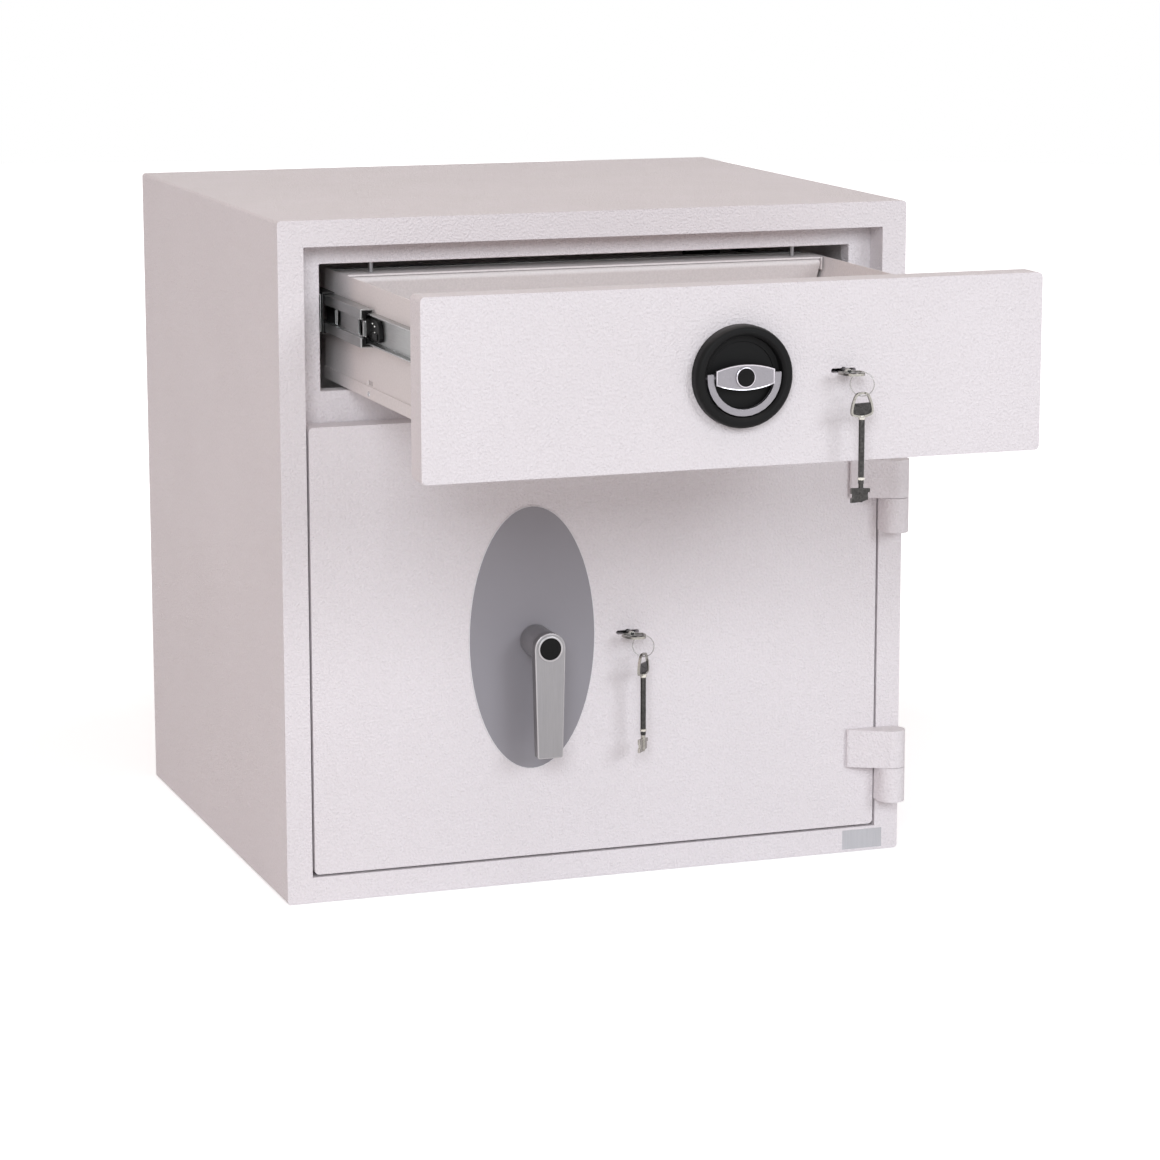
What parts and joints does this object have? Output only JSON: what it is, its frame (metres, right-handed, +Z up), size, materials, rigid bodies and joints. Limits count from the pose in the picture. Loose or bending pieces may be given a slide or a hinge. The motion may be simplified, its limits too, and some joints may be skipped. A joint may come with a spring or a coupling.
{
  "type": "drop safe with deposit drawer",
  "caption": "Steel safe with a lever-and-key door below a key-locked deposit drawer on slides; a hinged flap scrapes deposits off the drawer into the locked compartment.",
  "frame": {"origin": "centre of the cabinet's underside, on the floor", "axes": "+Z up, front of the safe towards -Y, +X to the right as seen from the front"},
  "size_m": [0.7, 1.0333, 0.72],
  "materials": {
    "cabinet_paint": "off-white textured powder coat",
    "barrier_fill": "cast barrier compound, hidden inside the walls",
    "plain_steel": "plain bright steel",
    "zinc_plate": "zinc-plated sheet steel",
    "grey_plate": "mid grey satin plate, bare of print",
    "dark_metal": "dark grey satin",
    "satin_metal": "satin silver metal",
    "black_plastic": "matt black moulded plastic",
    "key_nickel": "worn nickel plate"
  },
  "bodies": {
    "cabinet": {"outer_casing": "cabinet_paint", "back_plate": "cabinet_paint", "barrier_fill": "barrier_fill", "inner_liner": "cabinet_paint", "inner_frame": "cabinet_paint", "hinge_knuckle_upper": "cabinet_paint", "hinge_knuckle_lower": "cabinet_paint", "hinge_pin_upper": "plain_steel", "hinge_pin_lower": "plain_steel", "slide_bracket_left": "zinc_plate", "slide_bracket_right": "zinc_plate", "slide_outer_left": "zinc_plate", "slide_outer_right": "zinc_plate", "hood_plate": "cabinet_paint", "hood_rod_left": "plain_steel", "hood_rod_right": "plain_steel", "flap_rod": "plain_steel"},
    "flap": {"scraper_flap": "cabinet_paint"},
    "door": {"door_panel": "cabinet_paint", "bolt_pan": "cabinet_paint", "pan_cover": "cabinet_paint", "hinge_leaf_upper": "cabinet_paint", "hinge_leaf_lower": "cabinet_paint", "dog_bar": "plain_steel", "oval_plate": "grey_plate", "door_lock_case": "plain_steel"},
    "lever": {"lever_boss": "dark_metal", "lever_arm": "satin_metal", "lever_cap": "black_plastic", "lever_spindle": "plain_steel"},
    "bolts": {"bolt_carrier": "zinc_plate", "live_bolt_top": "satin_metal", "live_bolt_middle": "satin_metal", "live_bolt_bottom": "satin_metal"},
    "door_lock": {"door_lock_bolt": "plain_steel"},
    "door_key_in_lock": {"door_key": "key_nickel"},
    "door_ring": {"door_key_ring": "plain_steel"},
    "door_spare": {"door_spare_key": "key_nickel"},
    "drawer": {"drawer_front": "cabinet_paint", "drawer_side_left": "cabinet_paint", "drawer_side_right": "cabinet_paint", "drawer_tray": "cabinet_paint", "rear_tie": "zinc_plate", "slide_inner_left": "zinc_plate", "slide_inner_right": "zinc_plate", "pull_bowl": "black_plastic", "drawer_lock_case": "plain_steel", "latch_case": "plain_steel"},
    "middle_slide_left": {"slide_mid_left": "zinc_plate"},
    "middle_slide_right": {"slide_mid_right": "zinc_plate"},
    "pull": {"pull_rotor": "satin_metal", "pull_cap": "black_plastic", "pull_spindle": "plain_steel"},
    "bail": {"pull_bail": "satin_metal"},
    "latch": {"latch_bolt": "plain_steel"},
    "drawer_lock": {"drawer_lock_bolt": "plain_steel"},
    "drawer_key_in_lock": {"drawer_key": "key_nickel"},
    "drawer_ring": {"drawer_key_ring": "plain_steel"},
    "drawer_spare": {"drawer_spare_key": "key_nickel"}
  },
  "joints": [
    {"name": "drawer_slide", "type": "slide", "parent": "cabinet", "child": "drawer", "axis": [0, -1, 0], "range_m": [-0.395, 0.015]},
    {"name": "middle_slide_left_run", "type": "slide", "parent": "cabinet", "child": "middle_slide_left", "axis": [0, -1, 0], "range_m": [-0.1345, 0.0052]},
    {"name": "middle_slide_right_run", "type": "slide", "parent": "cabinet", "child": "middle_slide_right", "axis": [0, -1, 0], "range_m": [-0.1345, 0.0052]},
    {"name": "door_hinge", "type": "hinge", "parent": "cabinet", "child": "door", "pos_m": [0.3353, -0.315, 0], "axis": [0, 0, 1], "range_deg": [0, 105]},
    {"name": "lever_turn", "type": "hinge", "parent": "door", "child": "lever", "pos_m": [-0.075, -0.3, 0.2665], "axis": [0, 1, 0], "range_deg": [0, 90]},
    {"name": "bolts_throw", "type": "slide", "parent": "door", "child": "bolts", "axis": [-1, 0, 0], "range_m": [0, 0.022]},
    {"name": "door_key_turn", "type": "hinge", "parent": "door", "child": "door_key_in_lock", "pos_m": [0.0305, -0.3, 0.2674], "axis": [0, 1, 0], "range_deg": [0, 90]},
    {"name": "door_lock_throw", "type": "slide", "parent": "door", "child": "door_lock", "axis": [0, 0, -1], "range_m": [0, 0.0085]},
    {"name": "door_ring_hang", "type": "hinge", "parent": "door_key_in_lock", "child": "door_ring", "pos_m": [0.03667, -0.3316, 0.2674], "axis": [0, 1, 0], "range_deg": [-90, 0]},
    {"name": "door_spare_swing", "type": "hinge", "parent": "door_ring", "child": "door_spare", "pos_m": [0.03667, -0.3316, 0.2578], "axis": [-0.5, -0.866, 0], "range_deg": [-20, 75]},
    {"name": "pull_turn", "type": "hinge", "parent": "drawer", "child": "pull", "pos_m": [0, -0.695, 0.59805], "axis": [0, 1, 0], "range_deg": [0, 90]},
    {"name": "latch_throw", "type": "slide", "parent": "drawer", "child": "latch", "axis": [0, 0, -1], "range_m": [0, 0.014]},
    {"name": "bail_flip", "type": "hinge", "parent": "pull", "child": "bail", "pos_m": [0, -0.7045, 0.59805], "axis": [-1, 0, 0], "range_deg": [0, 90]},
    {"name": "drawer_key_turn", "type": "hinge", "parent": "drawer", "child": "drawer_key_in_lock", "pos_m": [0.1078, -0.695, 0.59805], "axis": [0, 1, 0], "range_deg": [0, 90]},
    {"name": "drawer_lock_throw", "type": "slide", "parent": "drawer", "child": "drawer_lock", "axis": [0, 0, -1], "range_m": [0, 0.014]},
    {"name": "drawer_ring_hang", "type": "hinge", "parent": "drawer_key_in_lock", "child": "drawer_ring", "pos_m": [0.11397, -0.7266, 0.59805], "axis": [0, 1, 0], "range_deg": [-90, 0]},
    {"name": "drawer_spare_swing", "type": "hinge", "parent": "drawer_ring", "child": "drawer_spare", "pos_m": [0.11397, -0.7266, 0.58845], "axis": [-0.5, -0.866, 0], "range_deg": [-20, 75]},
    {"name": "flap_swing", "type": "hinge", "parent": "cabinet", "child": "flap", "pos_m": [0, -0.261, 0.652], "axis": [1, 0, 0], "range_deg": [0, 40]}
  ],
  "couplings": [
    {"joint": "middle_slide_left_run", "follows": "drawer_slide", "ratio": 0.34},
    {"joint": "middle_slide_right_run", "follows": "drawer_slide", "ratio": 0.34},
    {"joint": "bolts_throw", "follows": "lever_turn", "m_per_rad": 0.014},
    {"joint": "door_lock_throw", "follows": "door_key_turn", "m_per_rad": 0.0054},
    {"joint": "door_ring_hang", "follows": "door_key_turn", "ratio": -1},
    {"joint": "latch_throw", "follows": "pull_turn", "m_per_rad": 0.0089},
    {"joint": "drawer_lock_throw", "follows": "drawer_key_turn", "m_per_rad": 0.0089},
    {"joint": "drawer_ring_hang", "follows": "drawer_key_turn", "ratio": -1}
  ]
}
